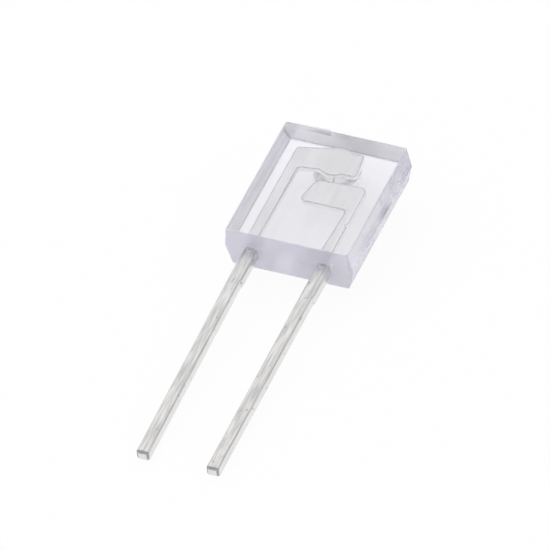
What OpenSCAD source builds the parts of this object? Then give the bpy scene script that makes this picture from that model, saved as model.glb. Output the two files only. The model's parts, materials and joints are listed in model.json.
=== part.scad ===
// A side-looking infrared receiver: a clear moulded package with a lens dome on one face and two
// flat leads at its lower end, a chip under the dome and a bond wire between the two leads.
// It lies as it comes to rest, on the dome and the two lead tips, with its flat back up.

/* [Moulded package] */
// Width at the parting line
body_width = 4.49; // [4.2:0.01:6]
// Height from the seating end to the top end
body_height = 5.19; // [4.9:0.01:7]
// Thickness from the flat back to the lens side
body_thickness = 1.54; // [1.4:0.01:2.4]
// Slope of the side walls between the parting line and the flat back, in degrees
back_draft = 8.6; // [2:0.1:14]
// Slope of the side walls between the parting line and the lens side, in degrees
lens_draft = 15; // [2:0.1:18]
// Slope of the two end walls, in degrees
end_draft = 1.5; // [0.5:0.1:4]
// Radius of the upright corners at the parting line
corner_radius = 0.12; // [0.02:0.01:0.5]
// Radius of the edges round the two flat faces
edge_radius = 0.05; // [0.02:0.01:0.15]

/* [Gate scar] */
// Distance from the middle of the top end to the scar's broken edge
scar_offset = 0.6; // [0.2:0.01:0.8]
// Width of the scar, from its broken edge to where it runs out
scar_width = 1.2; // [0.6:0.01:1.3]
// Height of the broken edge above the top end
scar_height = 0.055; // [0.02:0.005:0.1]
// Size of the scar across the package's thickness
scar_depth = 0.5; // [0.2:0.01:0.6]
// Distance from the flat back to the scar
scar_inset = 0.03; // [0.02:0.01:0.1]

/* [Lens] */
// Radius of the dome
lens_radius = 0.76; // [0.6:0.01:0.85]
// Distance from the top end to the middle of the dome
lens_from_top = 0.99; // [0.9:0.01:1.4]

/* [Leads] */
// Distance between the two leads, centre to centre
lead_pitch = 2.54; // [2.2:0.01:3]
// Thickness of the sheet that the leads are stamped from
sheet_thickness = 0.4; // [0.3:0.01:0.5]
// Width of a lead
lead_width = 0.42; // [0.35:0.01:0.5]
// Length of the leads below the seating end
lead_length = 9.48; // [4:0.01:20]
// Radius of a lead's long edges
lead_edge_radius = 0.03; // [0.01:0.01:0.1]
// Radius that the cutting tool rolled on the lens side of each tip
tip_radius = 0.13; // [0.02:0.01:0.16]
// Length of the wider stub that the cut tie bar leaves below the seating end
stub_length = 1.5; // [0.8:0.01:3]
// How far the sheared tie bar stands out past the right side of the lead
stub_burr = 0.05; // [0.02:0.01:0.12]
// How far the stub reaches into the package
stub_root = 0.15; // [0.1:0.01:0.4]
// How far the chip lead's tip has been bent to the right
chip_lead_bend = 0.17; // [-0.3:0.01:0.3]
// How far the wire lead's tip has been bent to the right
wire_lead_bend = 0.05; // [-0.3:0.01:0.3]

/* [Chip pad] */
// Width of the strip inside the package that carries the chip pad
chip_strip_width = 0.4; // [0.3:0.01:0.5]
// Distance from the middle of the dome down to the pad's lower edge
pad_below_lens = 0.5; // [0.45:0.01:0.55]
// How much lower the pad's lower edge is at the strip
pad_heel = 0.1; // [0.05:0.01:0.3]
// Distance from the middle of the dome up to the pad's upper edge, at the strip
pad_above_lens = 0.25; // [0.2:0.01:0.6]
// How much higher the pad's upper edge is from the cup to the free end
pad_rise = 0.25; // [0:0.01:0.3]
// Distance from the middle of the dome to the pad's free end
pad_reach = 0.86; // [0.75:0.01:1.3]
// How far the free end slants out towards its lower corner
pad_slant = 0.1; // [0:0.01:0.2]
// Radius of the pads' corners
pad_corner = 0.12; // [0.04:0.01:0.2]

/* [Cup and chip] */
// Side of the square chip
chip_side = 0.46; // [0.3:0.01:0.5]
// Thickness of the chip
chip_thickness = 0.22; // [0.15:0.01:0.28]
// Thickness of the glue film under the chip
glue_thickness = 0.02; // [0.01:0.005:0.04]
// Width of the glue bead round the chip
bead_width = 0.03; // [0.01:0.005:0.04]
// Height of the glue bead up the chip's sides
bead_height = 0.04; // [0.02:0.005:0.08]
// Clearance between the chip's corners and the edge of the cup's floor
cup_clearance = 0.045; // [0.04:0.005:0.08]
// Depth of the cup that is coined into the chip pad
cup_depth = 0.2; // [0.12:0.01:0.28]
// Slope of the cup's wall, away from upright, in degrees
cup_flare = 37; // [20:1:42]
// Metal left round the cup's mouth
cup_rim = 0.12; // [0.08:0.01:0.16]

/* [Wire pad] */
// Gap between the cup's rim and the wire pad
pad_gap = 0.31; // [0.2:0.01:0.4]
// Height of the wire pad at its free end
wire_pad_height = 1.03; // [0.7:0.01:1.2]
// How much higher the wire pad's upper edge is at the strip
wire_pad_rise = 0.1; // [0:0.01:0.2]
// How far the wire pad reaches to the left of the dome's middle
wire_pad_reach = 0.52; // [0.2:0.01:0.6]
// How far the wire pad's free end slants in towards its upper corner
wire_pad_slant = 0.24; // [0:0.01:0.3]
// Width of the strip inside the package that carries the wire pad, where it meets the pad
wire_strip_width = 0.32; // [0.25:0.01:0.4]
// Height of the locking notch above the seating end
notch_height = 1.59; // [0.6:0.01:1.7]
// Depth of the locking notch
notch_depth = 0.08; // [0.03:0.01:0.12]

/* [Bond wire] */
// Diameter of the bond wire
wire_diameter = 0.03; // [0.025:0.005:0.05]
// Diameter of the ball on the chip
ball_diameter = 0.08; // [0.06:0.005:0.11]
// Height of the ball
ball_height = 0.02; // [0.015:0.005:0.03]
// Distance from the chip's middle down to the ball
ball_offset = 0.12; // [0:0.01:0.13]
// Height of the wire's loop above the chip
loop_height = 0.25; // [0.16:0.01:0.3]
// Radius of the bend at the top of the loop
loop_radius = 0.1; // [0.05:0.01:0.14]
// Distance of the wire's foot to the right of the dome's middle
foot_side = 0.3; // [0:0.01:0.7]
// Distance from the wire pad's upper edge down to the foot
foot_inset = 0.25; // [0.2:0.01:0.5]
// Length of the flattened foot
foot_length = 0.09; // [0.06:0.01:0.14]

/* [Hidden] */

// Steps of each rounded corner, and sides of the round wire and of its ball
corner_steps = 6;
wire_sides = 8;
ball_sides = 12;
bend_steps = 8;
// Length that runs past a face where one solid is cut by another
past = 1;

// Package, with the seating end at Y = 0 and the parting line at Z = 0
half_thickness = body_thickness / 2;
half_width = body_width / 2;
back_half_width = half_width - half_thickness * tan(back_draft);
lens_half_width = half_width - half_thickness * tan(lens_draft);
end_inset = half_thickness * tan(end_draft);
lens_y = body_height - lens_from_top;
scar_foot = -end_inset - edge_radius;

// Leads: both strips keep the outer edge of their lead
half_sheet = sheet_thickness / 2;
lead_x = lead_pitch / 2;
outer_edge = lead_x + lead_width / 2;

// Cup and chip, stacked from the sheet's lens side, which faces down
cup_floor_z = -half_sheet + cup_depth;
chip_seat_z = cup_floor_z - glue_thickness;
chip_face_z = chip_seat_z - chip_thickness;
cup_floor_radius = chip_side / sqrt(2) + cup_clearance;
cup_mouth_radius = cup_floor_radius + cup_depth * tan(cup_flare);
boss_radius = cup_mouth_radius + cup_rim;

// Pads
pad_low = lens_y - pad_below_lens;
pad_high = lens_y + pad_above_lens;
neck_x = -sqrt(max(boss_radius * boss_radius - pad_below_lens * pad_below_lens, 0));
wire_pad_high = lens_y - boss_radius - pad_gap;
wire_pad_low = wire_pad_high - wire_pad_height;

// Bond wire, in its own upright plane from the ball to the foot
wire_radius = wire_diameter / 2;
ball_place = [0, lens_y - ball_offset];
foot_place = [foot_side, wire_pad_high - foot_inset];
wire_run = norm(foot_place - ball_place);
wire_heading = atan2(foot_place[1] - ball_place[1], foot_place[0] - ball_place[0]);
pad_drop = chip_face_z + half_sheet;
riser_top = loop_height - loop_radius - wire_radius;
foot_level = pad_drop + wire_radius;
bend_to_foot = [wire_run - loop_radius, riser_top - foot_level];
descent = atan2(bend_to_foot[1], bend_to_foot[0]) + asin(loop_radius / norm(bend_to_foot));

// Rest: the line under both the dome and the rolled edge of the tips becomes the floor
tip_centre = [tip_radius - lead_length, tip_radius - half_sheet];
dome_centre = [lens_y, -half_thickness];
rest_run = dome_centre[0] - tip_centre[0];
rest_drop = tip_centre[1] - dome_centre[1];
rest_angle = atan2(rest_drop, rest_run)
    + asin((lens_radius - tip_radius) / norm([rest_run, rest_drop]));
function rest_y(point) = point[0] * cos(rest_angle) - point[1] * sin(rest_angle);
function rest_z(point) = point[0] * sin(rest_angle) + point[1] * cos(rest_angle);
rest_height = tip_radius - rest_z(tip_centre);

// One corner of an outline: the arc of the given radius that blends the two edges meeting there
function corner_arc(before, corner, after, radius) =
    radius == 0 ? [corner] :
    let (
        to_before = (before - corner) / norm(before - corner),
        to_after = (after - corner) / norm(after - corner),
        half_angle = acos(to_before * to_after) / 2,
        middle = (to_before + to_after) / norm(to_before + to_after),
        centre = corner + middle * radius / sin(half_angle),
        start = corner + to_before * radius / tan(half_angle) - centre,
        end = corner + to_after * radius / tan(half_angle) - centre,
        first = atan2(start[1], start[0]),
        turn = (atan2(end[1], end[0]) - first + 900) % 360 - 180
    )
    [for (i = [0 : corner_steps])
        centre + radius * [cos(first + turn * i / corner_steps), sin(first + turn * i / corner_steps)]];

// An outline whose points are [x, y, radius of that corner]
function rounded(points) =
    let (count = len(points), flat = [for (p = points) [p[0], p[1]]])
    [for (i = [0 : count - 1])
        each corner_arc(flat[(i + count - 1) % count], flat[i], flat[(i + 1) % count], points[i][2])];

// Package seen from its end, in X and Z
end_outline = rounded([
    [-half_width, 0, 0],
    [-lens_half_width, -half_thickness, edge_radius],
    [lens_half_width, -half_thickness, edge_radius],
    [half_width, 0, 0],
    [back_half_width, half_thickness, edge_radius],
    [-back_half_width, half_thickness, edge_radius],
]);

// Package seen from its side, in Y and Z
side_outline = rounded([
    [0, 0, 0],
    [end_inset, -half_thickness, edge_radius],
    [body_height - end_inset, -half_thickness, edge_radius],
    [body_height, 0, 0],
    [body_height - end_inset, half_thickness, edge_radius],
    [end_inset, half_thickness, edge_radius],
]);

// Package seen from its flat back, in X and Y
plan_outline = rounded([
    [-half_width, 0, corner_radius],
    [half_width, 0, corner_radius],
    [half_width, body_height, corner_radius],
    [-half_width, body_height, corner_radius],
]);

// Chip pad on its strip, in X and Y
chip_pad_outline = rounded([
    [-outer_edge, 0, 0],
    [-outer_edge + chip_strip_width, 0, 0],
    [-outer_edge + chip_strip_width, pad_low - pad_heel, pad_corner / 2],
    [neck_x, pad_low, 0],
    [pad_reach + pad_slant / 2, pad_low, pad_corner],
    [pad_reach - pad_slant / 2, pad_high + pad_rise, pad_corner],
    [neck_x, pad_high + pad_rise, 0],
    [-outer_edge, pad_high, pad_corner],
]);

// Wire pad on its strip, with the locking notch, in X and Y
wire_pad_outline = rounded([
    [outer_edge, 0, 0],
    [outer_edge, notch_height - notch_depth, 0],
    [outer_edge - notch_depth, notch_height, 0],
    [outer_edge, notch_height + notch_depth, 0],
    [outer_edge, wire_pad_high + wire_pad_rise, 2 * pad_corner],
    [wire_pad_slant - wire_pad_reach, wire_pad_high, 2 * pad_corner],
    [-wire_pad_reach, wire_pad_low, 1.5 * pad_corner],
    [outer_edge - wire_strip_width, wire_pad_low, pad_corner],
    [lead_x - lead_width / 2, 0, 0],
]);

// Cross-section of a lead, in X and Z
lead_section = rounded([
    [-lead_width / 2, -half_sheet, lead_edge_radius],
    [lead_width / 2, -half_sheet, lead_edge_radius],
    [lead_width / 2, half_sheet, lead_edge_radius],
    [-lead_width / 2, half_sheet, lead_edge_radius],
]);

// Side of a lead as it is cut off, in Y and Z, with the rolled edge on the lens side
trim_outline = rounded([
    [past, -half_sheet - past, 0],
    [past, half_sheet + past, 0],
    [-lead_length, half_sheet + past, 0],
    [-lead_length, -half_sheet, tip_radius],
    [-stub_length / 2, -half_sheet, 0],
    [-stub_length / 2, -half_sheet - past, 0],
]);

// Path of the bond wire: [distance from the ball, height above the chip, direction of travel]
wire_path = concat(
    [[0, ball_height / 2, 90]],
    [for (i = [0 : bend_steps])
        let (turned = (90 + descent) * i / bend_steps)
        [loop_radius - loop_radius * cos(turned), riser_top + loop_radius * sin(turned), 90 - turned]],
    [[wire_run, foot_level, -descent]]
);

// Lays the part down on its dome and its lead tips, in the middle of its own footprint
module lay() {
    far_ends = concat(
        [for (p = side_outline) rest_y(p)],
        [rest_y([body_height + scar_height, half_thickness - scar_inset - scar_depth])],
        [rest_y(dome_centre) + lens_radius]
    );
    near_end = rest_y([-lead_length, half_sheet]);
    translate([0, -(max(far_ends) + near_end) / 2, rest_height])
        rotate([rest_angle, 0, 0])
            children();
}

// Extrudes an outline in Y and Z sideways along X
module across(size) {
    rotate([90, 0, 90])
        linear_extrude(size, center = true)
            children();
}

// Extrudes an outline in X and Z along the leads, away from the package
module down(size) {
    rotate([90, 0, 0])
        linear_extrude(size)
            children();
}

// Extrudes an outline in X and Y through the thickness of the sheet
module stamped() {
    linear_extrude(sheet_thickness, center = true)
        children();
}

// The moulded form before anything is set in it
module moulding() {
    intersection() {
        linear_extrude(2 * body_thickness, center = true)
            polygon(plan_outline);
        across(2 * body_width)
            polygon(side_outline);
        translate([0, body_height + past, 0])
            down(body_height + 2 * past)
                polygon(end_outline);
    }
    translate([0, lens_y, -half_thickness])
        sphere(r = lens_radius, $fn = 64);
    gate_scar();
}

// The thin wedge that is left where the mould's runner broke off
module gate_scar() {
    translate([-scar_offset, body_height, half_thickness - scar_inset - scar_depth])
        linear_extrude(scar_depth)
            polygon([[0, scar_foot], [0, scar_height], [-scar_width, -end_inset], [-scar_width, scar_foot]]);
}

// One lead outside the package: the wide stub, then the lead bent aside by the given shift
module lead(x, bend) {
    translate([x + stub_burr / 2, stub_root, 0])
        down(stub_root + stub_length)
            square([lead_width + stub_burr, sheet_thickness], center = true);
    intersection() {
        translate([x, -stub_length / 2, 0])
            rotate([0, 0, atan(bend / (lead_length - stub_length / 2))])
                down(lead_length)
                    polygon(lead_section);
        across(2 * body_width)
            polygon(trim_outline);
    }
}

module chip_lead_solid() {
    difference() {
        union() {
            stamped()
                polygon(chip_pad_outline);
            translate([0, lens_y, 0])
                cylinder(r = boss_radius, h = sheet_thickness, center = true, $fn = 64);
        }
        translate([0, lens_y, 0])
            coined_cup();
    }
    lead(-lead_x, chip_lead_bend);
}

// The cup's hollow, open towards the lens side
module coined_cup() {
    rotate_extrude($fn = 64)
        polygon([
            [0, cup_floor_z],
            [cup_floor_radius, cup_floor_z],
            [cup_mouth_radius, -half_sheet],
            [cup_mouth_radius, -half_sheet - past],
            [0, -half_sheet - past],
        ]);
}

module wire_lead_solid() {
    stamped()
        polygon(wire_pad_outline);
    lead(lead_x, wire_lead_bend);
}

module chip_solid() {
    translate([-chip_side / 2, lens_y - chip_side / 2, chip_face_z])
        cube([chip_side, chip_side, chip_thickness]);
}

// A film under the chip and a low bead round its foot
module glue_solid() {
    glue_side = chip_side + 2 * bead_width;
    difference() {
        translate([-glue_side / 2, lens_y - glue_side / 2, cup_floor_z - glue_thickness - bead_height])
            linear_extrude(glue_thickness + bead_height)
                polygon(rounded([
                    [0, 0, bead_width],
                    [glue_side, 0, bead_width],
                    [glue_side, glue_side, bead_width],
                    [0, glue_side, bead_width],
                ]));
        chip_solid();
    }
}

// A round wire swept along its path, in the plane of X and Z with the chip's face at Z = 0
module swept_wire() {
    rings = [for (p = wire_path)
        [for (k = [0 : wire_sides - 1])
            let (
                around = 360 * (k + 0.5) / wire_sides,
                lift = wire_radius * cos(around)
            )
            [p[0] - lift * sin(p[2]), wire_radius * sin(around), p[1] + lift * cos(p[2])]]];
    last = len(rings) - 1;
    walls = [for (i = [0 : last - 1], k = [0 : wire_sides - 1])
        let (
            next = (k + 1) % wire_sides,
            here = i * wire_sides,
            there = here + wire_sides
        )
        [here + k, here + next, there + next, there + k]];
    near_cap = [for (k = [wire_sides - 1 : -1 : 0]) k];
    far_cap = [for (k = [0 : wire_sides - 1]) last * wire_sides + k];
    polyhedron([for (ring = rings) each ring], concat(walls, [near_cap, far_cap]));
}

// The foot that the bonding tool flattened onto the wire pad
module wire_foot() {
    translate([0, wire_diameter, 0])
        down(2 * wire_diameter)
            polygon([
                [wire_run - wire_diameter, pad_drop],
                [wire_run + foot_length, pad_drop],
                [wire_run + foot_length, pad_drop + wire_diameter / 4],
                [wire_run, pad_drop + wire_diameter],
            ]);
}

module wire_solid() {
    translate([ball_place[0], ball_place[1], chip_face_z])
        mirror([0, 0, 1])
            rotate([0, 0, wire_heading]) {
                cylinder(d = ball_diameter, h = ball_height, $fn = ball_sides);
                swept_wire();
                wire_foot();
            }
}

module epoxy_package() {
    color([0.86, 0.85, 0.92, 0.4])
        lay()
            difference() {
                moulding();
                chip_lead_solid();
                wire_lead_solid();
                glue_solid();
                chip_solid();
                wire_solid();
            }
}

module chip_lead() {
    color([0.80, 0.80, 0.80])
        lay()
            chip_lead_solid();
}

module wire_lead() {
    color([0.80, 0.80, 0.80])
        lay()
            wire_lead_solid();
}

module die_attach() {
    color([0.72, 0.72, 0.70])
        lay()
            glue_solid();
}

module receiver_chip() {
    color([0.22, 0.23, 0.27])
        lay()
            chip_solid();
}

module bond_wire() {
    color([0.90, 0.72, 0.30])
        lay()
            wire_solid();
}

epoxy_package();
chip_lead();
wire_lead();
die_attach();
receiver_chip();
bond_wire();
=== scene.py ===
# %% [markdown]
# # A clear side-looking infrared receiver
# The part is a few millimetres of transparent epoxy round a stamped leadframe, seen from its flat back.
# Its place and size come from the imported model, which is loaded first and never moved. This script
# gives each piece the surface that the real one has: clear moulded epoxy, stamped and plated strip,
# silver-filled glue, silicon and gold wire.

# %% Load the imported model
import json
import math

import bmesh
import bpy
from mathutils import Matrix, Vector


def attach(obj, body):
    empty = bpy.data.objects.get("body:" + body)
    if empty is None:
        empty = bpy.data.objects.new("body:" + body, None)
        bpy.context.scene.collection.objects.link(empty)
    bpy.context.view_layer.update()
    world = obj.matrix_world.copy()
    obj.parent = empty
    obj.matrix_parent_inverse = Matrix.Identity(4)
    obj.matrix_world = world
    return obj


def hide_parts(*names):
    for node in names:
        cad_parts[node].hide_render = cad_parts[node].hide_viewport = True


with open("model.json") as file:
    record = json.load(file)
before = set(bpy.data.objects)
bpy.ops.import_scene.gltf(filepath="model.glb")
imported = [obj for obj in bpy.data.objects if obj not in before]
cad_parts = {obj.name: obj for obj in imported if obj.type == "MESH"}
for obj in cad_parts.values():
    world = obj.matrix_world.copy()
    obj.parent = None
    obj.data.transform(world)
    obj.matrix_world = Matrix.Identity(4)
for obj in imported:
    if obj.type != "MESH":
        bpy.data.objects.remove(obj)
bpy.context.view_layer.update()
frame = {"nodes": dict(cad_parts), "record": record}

print("packed nodes:", sorted(frame["nodes"]))

# %% [markdown]
# The part lies tilted on its dome and its lead tips. Its two mounts say how: one sits at the end of the
# package with its axis along the leads, the other on the flat back with the back's normal. From them
# comes one matrix for the package's own frame, where X runs across the leads, Y from the leads to the
# top end, and Z from the lens side to the flat back. Every piece is drawn there in millimetres, and
# the matrix then puts it into the scene in metres.

# %% The package's own frame
MM = 0.001
mounts = {m["name"]: m for m in frame["record"]["mounts"]}
up_axis = -Vector(mounts["lead_pair"]["axis"]).normalized()
back_axis = Vector(mounts["flat_back"]["axis"]).normalized()
side_axis = up_axis.cross(back_axis)
package = Matrix((side_axis, up_axis, back_axis)).transposed().to_4x4()
package = Matrix.Translation(mounts["lead_pair"]["pos_m"]) @ package


def place(point):
    """A point of the package's frame, in millimetres, as a point of the scene, in metres."""
    return package @ (Vector(point) * MM)


print("seating end at", tuple(round(c, 6) for c in place((0, 0, 0))))

# %% [markdown]
# Each piece is drawn as a bmesh in the package's frame and becomes an object of the scene. It rides on
# the part's only body and takes the place of its plain CAD solid. Its points and faces are put in order
# first, so that every run gives the same mesh.


# %% Turn a drawn shape into a piece
def into_scene(name, data):
    """A new object of the scene for a mesh, a camera or a lamp."""
    thing = bpy.data.objects.new(name, data)
    bpy.context.scene.collection.objects.link(thing)
    return thing


def put_in_order(elements, place_of):
    """Sorts vertices or faces by place, because a bevel leaves them in a new order at each run."""
    rank = {element: k for k, element in enumerate(sorted(elements, key=place_of))}
    elements.sort(key=rank.get)


def make_piece(name, shape, node):
    """An object from a bmesh in the package's frame, which stands for a CAD node."""
    bmesh.ops.recalc_face_normals(shape, faces=shape.faces)
    bmesh.ops.transform(shape, matrix=package @ Matrix.Scale(MM, 4), verts=shape.verts)
    for face in shape.faces:
        face.smooth = True
    put_in_order(shape.verts, lambda vert: tuple(vert.co))
    put_in_order(shape.faces, lambda face: sorted(tuple(vert.co) for vert in face.verts))
    mesh = bpy.data.meshes.new(name)
    shape.to_mesh(mesh)
    shape.free()
    piece = into_scene(name, mesh)
    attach(piece, "root")
    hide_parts(node)
    print(name, "faces:", len(mesh.polygons))
    return piece


def add_modifier(piece, kind, **settings):
    """Adds a modifier to a piece."""
    modifier = piece.modifiers.new(kind.lower(), kind)
    for name, value in settings.items():
        setattr(modifier, name, value)
    return modifier


# %% [markdown]
# Colours are written as sRGB hex values, as an eye would match them to the object, and one function
# turns them into the linear values that the renderer works in. Another small function adds a shader
# node, sets its sockets and links them, so that a material reads as a short list of steps.


# %% Helpers for colours and shader nodes
def linear(code):
    """An sRGB hex colour as linear red, green, blue and alpha."""
    values = [int(code[i:i + 2], 16) / 255 for i in (1, 3, 5)]
    return [v / 12.92 if v <= 0.04045 else ((v + 0.055) / 1.055) ** 2.4 for v in values] + [1.0]


def add(tree, kind, sockets=None, **settings):
    """Adds a node. A socket is given a value, or another node's output to link from."""
    node = tree.nodes.new(kind)
    for name, value in settings.items():
        setattr(node, name, value)
    for key, value in (sockets or {}).items():
        if isinstance(value, bpy.types.NodeSocket):
            tree.links.new(value, node.inputs[key])
        else:
            node.inputs[key].default_value = value
    return node


def new_material(name):
    """An empty node material, its tree and its output node."""
    material = bpy.data.materials.new(name)
    material.use_nodes = True
    tree = material.node_tree
    tree.nodes.clear()
    return material, tree, tree.nodes.new("ShaderNodeOutputMaterial")


def in_package(tree, unit=(1, 1, 1)):
    """The place on a piece, in the package's frame, counted in units of the given millimetres."""
    return add(tree, "ShaderNodeMapping", {
        "Vector": add(tree, "ShaderNodeTexCoord").outputs["Object"],
        "Location": package.translation,
        "Rotation": package.to_euler(),
        "Scale": [length * MM for length in unit],
    }, vector_type="TEXTURE").outputs[0]


# %% [markdown]
# The camera comes first, because everything else is judged through it. The photograph was taken with a
# long lens, so parallel edges stay parallel: a distance far larger than the part gives the same look.
# Two angles place the camera round the part, a small roll levels it as in the photograph, and the
# distance and focal length give the photograph's scale. The package's seating end has a known pixel.

# %% Camera
PHOTO_SIDE = 550
PHOTO_SCALE = 31.12
SEAT_PIXEL = (288.0, 259.9)
AZIMUTH = 25.9
ELEVATION = 40.0
ROLL = 4.6
DISTANCE = 450 * MM
SENSOR_WIDTH = 36

around, above, roll = (math.radians(a) for a in (AZIMUTH, ELEVATION, ROLL))
level = math.cos(above)
to_camera = Vector((math.sin(around) * level, -math.cos(around) * level, math.sin(above)))
level_right = Vector((math.cos(around), math.sin(around), 0))
level_up = to_camera.cross(level_right)
right = level_right * math.cos(roll) - level_up * math.sin(roll)
up = level_up * math.cos(roll) + level_right * math.sin(roll)

metres_per_pixel = MM / PHOTO_SCALE
aim = place((0, 0, 0))
aim += right * (PHOTO_SIDE / 2 - SEAT_PIXEL[0]) * metres_per_pixel
aim -= up * (PHOTO_SIDE / 2 - SEAT_PIXEL[1]) * metres_per_pixel

camera_data = bpy.data.cameras.new("camera")
camera_data.sensor_width = SENSOR_WIDTH
camera_data.lens = SENSOR_WIDTH * DISTANCE / (PHOTO_SIDE * metres_per_pixel)
camera_data.clip_start = DISTANCE / 10
camera_data.clip_end = DISTANCE * 10
camera = into_scene("camera", camera_data)
axes = Matrix((right, up, to_camera)).transposed().to_4x4()
camera.matrix_world = Matrix.Translation(aim + to_camera * DISTANCE) @ axes
bpy.context.scene.camera = camera
print("focal length, mm:", round(camera_data.lens))

# %% [markdown]
# The epoxy body is made in a steel mould that parts along the leadframe, so its side walls slope away
# from that parting line both ways. A stack of closed rings follows it: round the back's edge, down the
# wall to the parting line, on to the lens side and round its edge. Every ring has the same number of
# points, so each pair is joined by a band of four-sided faces. The flat back closes the stack at one
# end, and at the other the lens side joins it to the dome, so the result is one closed skin. It has no
# hollow for the metal inside: light that enters the epoxy meets the metal directly, as in the real part.

# %% Sizes of the moulded package, in millimetres
WIDTH = 4.49
HEIGHT = 5.19
THICKNESS = 1.54
BACK_DRAFT = math.radians(8.6)
LENS_DRAFT = math.radians(15)
END_DRAFT = math.radians(1.5)
EDGE_RADIUS = 0.05
CORNER_AT_PARTING = 0.12
CORNER_AT_FACE = 0.06
LENS_RADIUS = 0.76
LENS_Y = HEIGHT - 0.99
LENS_FILLET = 0.03

half = THICKNESS / 2
quarter = math.radians(90)

# %% Sizes of the leads, in millimetres
LEAD_X = 1.27
LEAD_WIDTH = 0.42
SHEET = 0.4
LEAD_LENGTH = 9.48
STUB_LENGTH = 1.5
STUB_BURR = 0.05
STUB_SHOULDER = 0.12
STUB_ROOT = 0.15

sheet_top = SHEET / 2
outer_edge = LEAD_X + LEAD_WIDTH / 2

# %% [markdown]
# Three small features stand out of the end walls. At the top end the mould's runner broke off and left
# a thin wedge. At the seating end the liquid epoxy crept a little way along each lead before it set: a
# low collar all round, and a rounded tongue on the lead's upper face. A thin fin of it also got between
# the mould halves beside the right lead. A texture could only shade them, so each is a height that is
# added to the wall's own points.

# %% Relief on the two end walls
SCAR_EDGE = -0.6
SCAR_WIDTH = 1.2
SCAR_HEIGHT = 0.055
SCAR_FOOT = 0.24
SCAR_SOFTNESS = 0.2
COLLAR_WIDTH = 0.09
COLLAR_HEIGHT = 0.08
TONGUE_LENGTH = 0.22
TONGUE_REACH = 0.2
TONGUE_DEPTH = 0.04
FIN_START = 0.45
FIN_HEIGHT = 0.03
FIN_DEPTH = 0.018
ON_END_WALL = 0.9


def scar_lift(x, z):
    """How far the gate scar stands out of the top end at this place."""
    across = max(0.0, 1 - (SCAR_EDGE - x) / SCAR_WIDTH) if x <= SCAR_EDGE else 0.0
    foot = min(1.0, max(0.0, (z - SCAR_FOOT) / SCAR_SOFTNESS))
    fade = min(1.0, (half - z) / (EDGE_RADIUS / 2))
    return SCAR_HEIGHT * across * foot * fade


def creep(x, z):
    """How far the epoxy stands out of the seating end at this place."""
    lift = 0.0
    for lead_x in (-LEAD_X, LEAD_X):
        beside = max(lead_x - LEAD_WIDTH / 2 - x, x - lead_x - LEAD_WIDTH / 2 - STUB_BURR, 0)
        outside = math.hypot(beside, max(abs(z) - sheet_top, 0))
        lift = max(lift, COLLAR_HEIGHT * max(0.0, 1 - outside / COLLAR_WIDTH) ** 2)
        arch = max(0.0, 1 - ((x - lead_x) / TONGUE_REACH) ** 2)
        rise = min(1.0, max(z - sheet_top, 0) / TONGUE_DEPTH) if z > 0 else 1.0
        lift = max(lift, TONGUE_LENGTH * arch * math.sqrt(1 - rise * rise))
    if FIN_START < x < LEAD_X:
        lift = max(lift, FIN_HEIGHT * max(0.0, 1 - abs(z) / FIN_DEPTH))
    return lift


def relief(x, z, outward_y):
    """The change in Y of a point of an end wall."""
    if outward_y > ON_END_WALL:
        return scar_lift(x, z)
    return -creep(x, z) if outward_y < -ON_END_WALL else 0.0


# %% Where the points of a ring stand along its four sides
ARC_STEPS = 10
WALL_STEPS = 24
COARSE = 0.1
COARSE_STEPS = 19
FINE = 0.025
FINE_LEFT, FINE_RIGHT = 16, 18
SCAR_STEP = 0.002

# The finer points stand round the leads, where the collars and the tongues need them.
coarse_stations = [k * COARSE for k in range(-COARSE_STEPS, COARSE_STEPS + 1)]
fine_steps = range(-FINE_LEFT, FINE_RIGHT + 1)
fine_stations = [side * LEAD_X + k * FINE for side in (-1, 1) for k in fine_steps]
seat_stations = sorted(set(round(x, 4) for x in coarse_stations + fine_stations))
scar_sides = [SCAR_EDGE - SCAR_STEP, SCAR_EDGE + SCAR_STEP]
scar_stations = sorted(coarse_stations + scar_sides, reverse=True)
print("points along the seating end:", len(seat_stations), "and the top end:", len(scar_stations))


def ring(half_x, inset_y, corner):
    """A rounded rectangle as points with their outward direction, from its lower right corner round."""
    low, high = inset_y + corner, HEIGHT - inset_y - corner
    side = half_x - corner
    wall = [low + (high - low) * k / WALL_STEPS for k in range(1, WALL_STEPS)]
    points = []

    def turn(centre_x, centre_y, first):
        for k in range(ARC_STEPS + 1):
            angle = first + quarter * k / ARC_STEPS
            way = (math.cos(angle), math.sin(angle))
            points.append((centre_x + corner * way[0], centre_y + corner * way[1], *way))

    turn(side, low, -quarter)
    points += [(half_x, y, 1, 0) for y in wall]
    turn(side, high, 0)
    points += [(x, HEIGHT - inset_y, 0, 1) for x in scar_stations]
    turn(-side, high, quarter)
    points += [(-half_x, y, -1, 0) for y in reversed(wall)]
    turn(-side, low, 2 * quarter)
    points += [(x, inset_y, 0, -1) for x in seat_stations]
    return points


# %% Rings on the walls and round the edges of the flat faces
FILLET_STEPS = 6


def wall_ring(z):
    """A ring on the walls at height z."""
    draft = BACK_DRAFT if z > 0 else LENS_DRAFT
    corner = CORNER_AT_PARTING + (CORNER_AT_FACE - CORNER_AT_PARTING) * abs(z) / half
    outline = ring(WIDTH / 2 - abs(z) * math.tan(draft), abs(z) * math.tan(END_DRAFT), corner)
    return [(x, y + relief(x, z, ny), z) for x, y, nx, ny in outline]


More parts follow.
